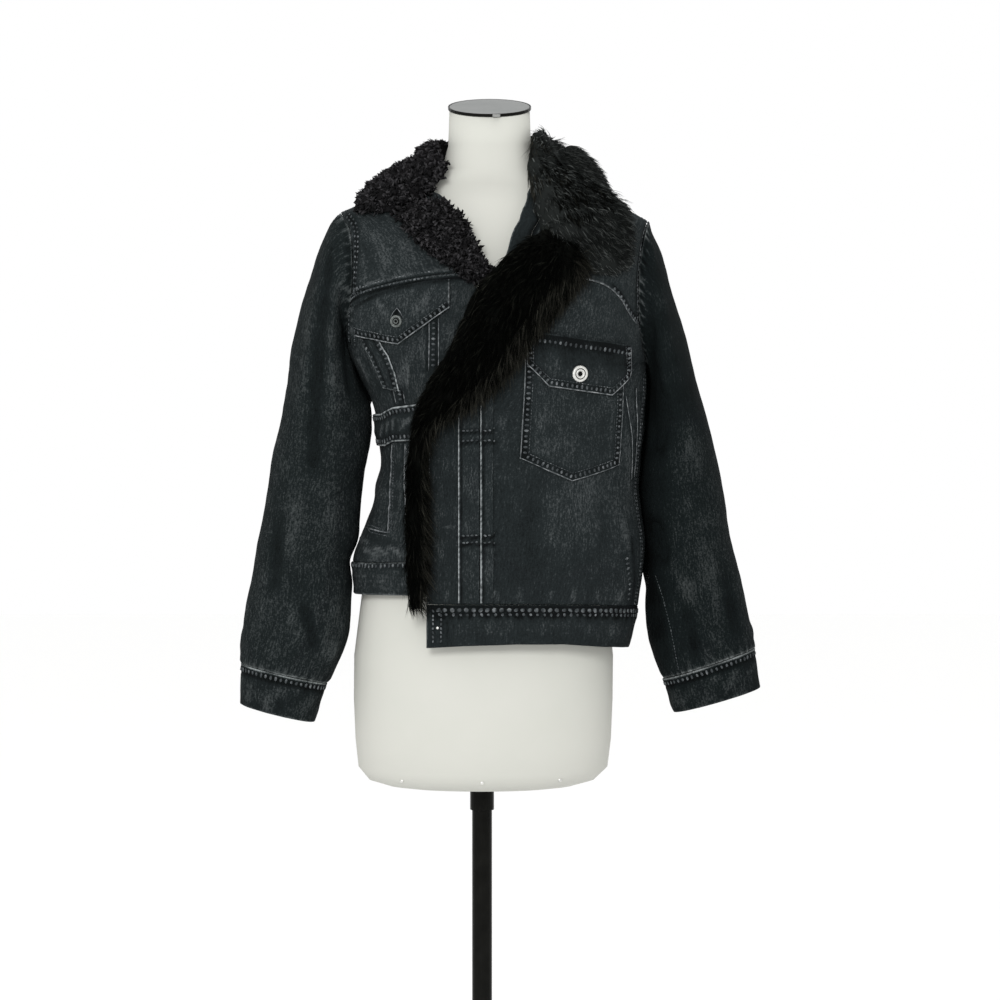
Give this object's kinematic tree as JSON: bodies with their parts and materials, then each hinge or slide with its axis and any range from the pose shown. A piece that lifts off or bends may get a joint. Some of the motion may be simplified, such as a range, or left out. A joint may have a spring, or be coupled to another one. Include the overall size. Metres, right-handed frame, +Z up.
{
  "type": "spliced denim jacket on a dress form with its stand",
  "caption": "Black denim jacket joined from a cropped half with a curly pile collar and a long boxy half with a fur collar and strip, worn on a limbless dress form and stand.",
  "frame": {"origin": "centre of the stand base's underside, on the pole's axis", "axes": "+Z up along the pole, -Y towards the jacket's front, +X towards the wearer's left"},
  "size_m": [0.6512, 0.36, 1.4809],
  "materials": {
    "body_denim": "washed black denim, matt",
    "sleeve_denim": "black denim, matt",
    "curly_pile": "curly woollen pile",
    "long_fur": "long soft fur with a low sheen",
    "aged_metal": "blackened and worn",
    "bright_metal": "satin nickel",
    "form_cover": "smooth off-white stretch cover",
    "cap_face": "matt grey",
    "black_gloss": "black gloss enamel"
  },
  "bodies": {
    "root": {"form_torso": "form_cover", "neck_cap": "cap_face", "neck_cap_rim": "black_gloss", "pole_collar": "black_gloss", "stand_pole": "black_gloss", "stand_hub": "black_gloss", "stand_base": "black_gloss", "right_front_yoke": "body_denim", "right_front_chest": "body_denim", "right_front_skirt": "body_denim", "right_front_hem_band": "body_denim", "right_side_band": "body_denim", "right_pocket_flap": "body_denim", "right_waist_tab": "body_denim", "right_back_yoke": "body_denim", "right_back": "body_denim", "right_back_hem_band": "body_denim", "right_pile_collar": "curly_pile", "right_pile_lapel": "curly_pile", "right_flap_button": "aged_metal", "right_sleeve": "sleeve_denim", "right_cuff": "sleeve_denim", "left_front_yoke": "body_denim", "left_neck_facing": "body_denim", "left_front": "body_denim", "left_pleat_inner": "body_denim", "left_pleat_outer": "body_denim", "left_chest_pocket": "body_denim", "left_pocket_flap": "body_denim", "left_side_panel": "body_denim", "left_front_waistband": "body_denim", "left_back_waistband": "body_denim", "left_back_yoke": "body_denim", "left_back": "body_denim", "left_fur_collar": "long_fur", "left_fur_strip": "long_fur", "left_flap_button": "bright_metal", "left_sleeve": "sleeve_denim", "left_cuff": "sleeve_denim"}
  },
  "joints": []
}
